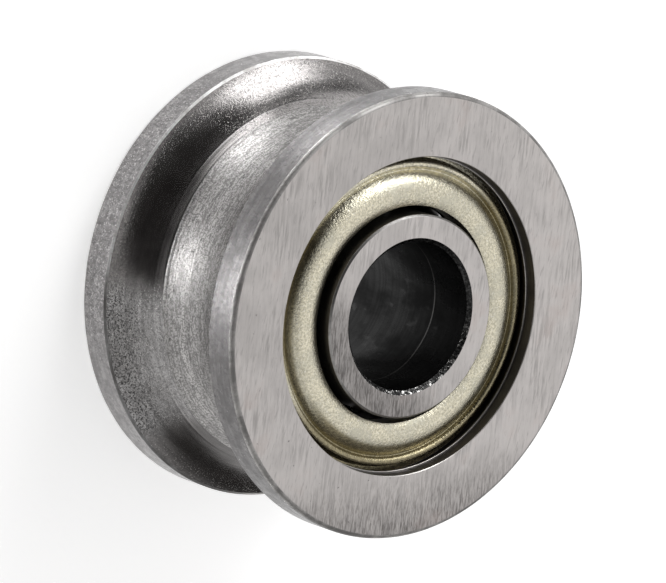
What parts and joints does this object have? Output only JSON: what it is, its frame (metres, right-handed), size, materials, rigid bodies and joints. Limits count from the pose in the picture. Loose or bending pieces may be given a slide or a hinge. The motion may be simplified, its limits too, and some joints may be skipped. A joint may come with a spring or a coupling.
{
  "type": "grooved track roller bearing",
  "caption": "Steel track roller with a deep round rail groove, turning on its own shielded double-row ball bearing.",
  "frame": {"origin": "centre of the wheel, on the spin axis and midway between the end faces", "axes": "+Z along the spin axis, out of the front end face; the wheel lies on its rear end face"},
  "size_m": [0.015, 0.015, 0.008],
  "materials": {
    "wheel_steel": "turned rims and groove, ground end faces",
    "ring_steel": "ground end faces, dark oiled bore",
    "shield_zinc": "pressed sheet, pale yellow zinc plating",
    "cage_steel": "plain stamped steel, oiled",
    "ball_steel": "polished bearing steel"
  },
  "bodies": {
    "inner_ring": {"inner_ring": "ring_steel"},
    "wheel": {"grooved_wheel": "wheel_steel", "front_shield": "shield_zinc", "rear_shield": "shield_zinc"},
    "front_cage": {"front_cage": "cage_steel"},
    "rear_cage": {"rear_cage": "cage_steel"},
    "front_ball_1": {"front_ball_1": "ball_steel"},
    "front_ball_2": {"front_ball_2": "ball_steel"},
    "front_ball_3": {"front_ball_3": "ball_steel"},
    "front_ball_4": {"front_ball_4": "ball_steel"},
    "front_ball_5": {"front_ball_5": "ball_steel"},
    "front_ball_6": {"front_ball_6": "ball_steel"},
    "front_ball_7": {"front_ball_7": "ball_steel"},
    "front_ball_8": {"front_ball_8": "ball_steel"},
    "front_ball_9": {"front_ball_9": "ball_steel"},
    "rear_ball_1": {"rear_ball_1": "ball_steel"},
    "rear_ball_2": {"rear_ball_2": "ball_steel"},
    "rear_ball_3": {"rear_ball_3": "ball_steel"},
    "rear_ball_4": {"rear_ball_4": "ball_steel"},
    "rear_ball_5": {"rear_ball_5": "ball_steel"},
    "rear_ball_6": {"rear_ball_6": "ball_steel"},
    "rear_ball_7": {"rear_ball_7": "ball_steel"},
    "rear_ball_8": {"rear_ball_8": "ball_steel"},
    "rear_ball_9": {"rear_ball_9": "ball_steel"}
  },
  "joints": [
    {"name": "wheel_spin", "type": "hinge", "parent": "inner_ring", "child": "wheel", "pos_m": [0, 0, 0], "axis": [0, 0, 1], "continuous": true},
    {"name": "front_cage_orbit", "type": "hinge", "parent": "inner_ring", "child": "front_cage", "pos_m": [0, 0, 0.00165], "axis": [0, 0, 1], "continuous": true},
    {"name": "rear_cage_orbit", "type": "hinge", "parent": "inner_ring", "child": "rear_cage", "pos_m": [0, 0, -0.00165], "axis": [0, 0, 1], "continuous": true},
    {"name": "front_ball_1_spin", "type": "hinge", "parent": "front_cage", "child": "front_ball_1", "pos_m": [0.00397, 0, 0.00165], "axis": [0, 0, 1], "continuous": true},
    {"name": "front_ball_2_spin", "type": "hinge", "parent": "front_cage", "child": "front_ball_2", "pos_m": [0.00304, 0.00255, 0.00165], "axis": [0, 0, 1], "continuous": true},
    {"name": "front_ball_3_spin", "type": "hinge", "parent": "front_cage", "child": "front_ball_3", "pos_m": [0.00069, 0.00391, 0.00165], "axis": [0, 0, 1], "continuous": true},
    {"name": "front_ball_4_spin", "type": "hinge", "parent": "front_cage", "child": "front_ball_4", "pos_m": [-0.00199, 0.00344, 0.00165], "axis": [0, 0, 1], "continuous": true},
    {"name": "front_ball_5_spin", "type": "hinge", "parent": "front_cage", "child": "front_ball_5", "pos_m": [-0.00373, 0.00136, 0.00165], "axis": [0, 0, 1], "continuous": true},
    {"name": "front_ball_6_spin", "type": "hinge", "parent": "front_cage", "child": "front_ball_6", "pos_m": [-0.00373, -0.00136, 0.00165], "axis": [0, 0, 1], "continuous": true},
    {"name": "front_ball_7_spin", "type": "hinge", "parent": "front_cage", "child": "front_ball_7", "pos_m": [-0.00199, -0.00344, 0.00165], "axis": [0, 0, 1], "continuous": true},
    {"name": "front_ball_8_spin", "type": "hinge", "parent": "front_cage", "child": "front_ball_8", "pos_m": [0.00069, -0.00391, 0.00165], "axis": [0, 0, 1], "continuous": true},
    {"name": "front_ball_9_spin", "type": "hinge", "parent": "front_cage", "child": "front_ball_9", "pos_m": [0.00304, -0.00255, 0.00165], "axis": [0, 0, 1], "continuous": true},
    {"name": "rear_ball_1_spin", "type": "hinge", "parent": "rear_cage", "child": "rear_ball_1", "pos_m": [0.00373, 0.00136, -0.00165], "axis": [0, 0, 1], "continuous": true},
    {"name": "rear_ball_2_spin", "type": "hinge", "parent": "rear_cage", "child": "rear_ball_2", "pos_m": [0.00199, 0.00344, -0.00165], "axis": [0, 0, 1], "continuous": true},
    {"name": "rear_ball_3_spin", "type": "hinge", "parent": "rear_cage", "child": "rear_ball_3", "pos_m": [-0.00069, 0.00391, -0.00165], "axis": [0, 0, 1], "continuous": true},
    {"name": "rear_ball_4_spin", "type": "hinge", "parent": "rear_cage", "child": "rear_ball_4", "pos_m": [-0.00304, 0.00255, -0.00165], "axis": [0, 0, 1], "continuous": true},
    {"name": "rear_ball_5_spin", "type": "hinge", "parent": "rear_cage", "child": "rear_ball_5", "pos_m": [-0.00397, 0, -0.00165], "axis": [0, 0, 1], "continuous": true},
    {"name": "rear_ball_6_spin", "type": "hinge", "parent": "rear_cage", "child": "rear_ball_6", "pos_m": [-0.00304, -0.00255, -0.00165], "axis": [0, 0, 1], "continuous": true},
    {"name": "rear_ball_7_spin", "type": "hinge", "parent": "rear_cage", "child": "rear_ball_7", "pos_m": [-0.00069, -0.00391, -0.00165], "axis": [0, 0, 1], "continuous": true},
    {"name": "rear_ball_8_spin", "type": "hinge", "parent": "rear_cage", "child": "rear_ball_8", "pos_m": [0.00199, -0.00344, -0.00165], "axis": [0, 0, 1], "continuous": true},
    {"name": "rear_ball_9_spin", "type": "hinge", "parent": "rear_cage", "child": "rear_ball_9", "pos_m": [0.00373, -0.00136, -0.00165], "axis": [0, 0, 1], "continuous": true}
  ],
  "couplings": [
    {"joint": "front_cage_orbit", "follows": "wheel_spin", "ratio": 0.60179},
    {"joint": "rear_cage_orbit", "follows": "wheel_spin", "ratio": 0.60179},
    {"joint": "front_ball_1_spin", "follows": "wheel_spin", "ratio": 2.3988},
    {"joint": "front_ball_2_spin", "follows": "wheel_spin", "ratio": 2.3988},
    {"joint": "front_ball_3_spin", "follows": "wheel_spin", "ratio": 2.3988},
    {"joint": "front_ball_4_spin", "follows": "wheel_spin", "ratio": 2.3988},
    {"joint": "front_ball_5_spin", "follows": "wheel_spin", "ratio": 2.3988},
    {"joint": "front_ball_6_spin", "follows": "wheel_spin", "ratio": 2.3988},
    {"joint": "front_ball_7_spin", "follows": "wheel_spin", "ratio": 2.3988},
    {"joint": "front_ball_8_spin", "follows": "wheel_spin", "ratio": 2.3988},
    {"joint": "front_ball_9_spin", "follows": "wheel_spin", "ratio": 2.3988},
    {"joint": "rear_ball_1_spin", "follows": "wheel_spin", "ratio": 2.3988},
    {"joint": "rear_ball_2_spin", "follows": "wheel_spin", "ratio": 2.3988},
    {"joint": "rear_ball_3_spin", "follows": "wheel_spin", "ratio": 2.3988},
    {"joint": "rear_ball_4_spin", "follows": "wheel_spin", "ratio": 2.3988},
    {"joint": "rear_ball_5_spin", "follows": "wheel_spin", "ratio": 2.3988},
    {"joint": "rear_ball_6_spin", "follows": "wheel_spin", "ratio": 2.3988},
    {"joint": "rear_ball_7_spin", "follows": "wheel_spin", "ratio": 2.3988},
    {"joint": "rear_ball_8_spin", "follows": "wheel_spin", "ratio": 2.3988},
    {"joint": "rear_ball_9_spin", "follows": "wheel_spin", "ratio": 2.3988}
  ]
}
